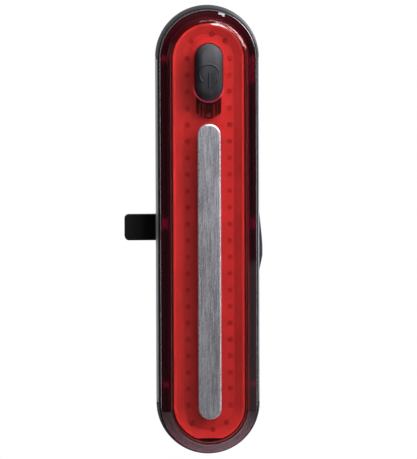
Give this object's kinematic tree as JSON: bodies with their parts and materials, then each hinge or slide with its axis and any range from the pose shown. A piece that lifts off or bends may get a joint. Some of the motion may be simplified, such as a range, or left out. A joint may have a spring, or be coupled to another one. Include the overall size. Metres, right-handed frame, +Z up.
{
  "type": "bike rear light",
  "caption": "Slim oblong rechargeable bike rear light with a red lens, a brushed strip and a rubber button, on a rail bracket with a rubber strap.",
  "frame": {"origin": "on the axis of the tube that the strap holds, half way up the lamp", "axes": "+Z up along the lamp and the tube, -Y out of the lens towards the rear, +X to the right seen from behind the bicycle"},
  "size_m": [0.0308, 0.0432, 0.1],
  "materials": {
    "housing": "satin",
    "side_trim": "satin",
    "seal": "matte",
    "lens": "gloss",
    "strip": "brushed",
    "button": "matte",
    "inner_black": "matte",
    "tray": "satin",
    "board_white": "satin",
    "led": "gloss",
    "plunger": "satin",
    "board_green": "satin",
    "chip": "matte",
    "screw": "satin",
    "battery": "satin",
    "foam": "matte",
    "wire": "satin",
    "cover": "matte",
    "bracket": "satin",
    "strap": "matte"
  },
  "bodies": {
    "bracket": {"bracket_base": "bracket", "saddle_pad": "strap"},
    "lamp": {"rear_housing": "housing", "side_rail_left": "side_trim", "side_rail_right": "side_trim", "seal_gasket": "seal", "front_lens": "lens", "silver_strip": "strip", "button_guide": "inner_black", "bezel_frame": "inner_black", "reflector_tray": "tray", "led_board": "board_white", "led_chips": "led", "tact_switch": "inner_black", "control_board": "board_green", "control_chips": "chip", "board_header": "chip", "board_screws": "screw", "battery_cell": "battery", "battery_pad": "foam", "battery_leads": "wire", "usb_socket": "screw"},
    "button": {"power_button": "button"},
    "plunger": {"switch_plunger": "plunger"},
    "cover": {"usb_cover": "cover"},
    "strap": {"strap": "strap"}
  },
  "joints": [
    {"name": "lamp_slide", "type": "slide", "parent": "bracket", "child": "lamp", "axis": [0, 0, 1], "range_m": [0, 0.02]},
    {"name": "button_press", "type": "slide", "parent": "lamp", "child": "button", "axis": [0, 1, 0], "range_m": [0, 0.0006], "stiffness_N_per_m": 1500},
    {"name": "plunger_press", "type": "slide", "parent": "lamp", "child": "plunger", "axis": [0, 1, 0], "range_m": [0, 0.0006]},
    {"name": "cover_hinge", "type": "hinge", "parent": "lamp", "child": "cover", "pos_m": [0, -0.01515, -0.0434], "axis": [-1, 0, 0], "range_deg": [0, 110]},
    {"name": "strap_swing", "type": "hinge", "parent": "bracket", "child": "strap", "pos_m": [0.0089, -0.011, 0], "axis": [0, 0, -1], "range_deg": [0, 100], "deforming": ["strap"]}
  ],
  "couplings": [
    {"joint": "plunger_press", "follows": "button_press", "ratio": 1}
  ]
}
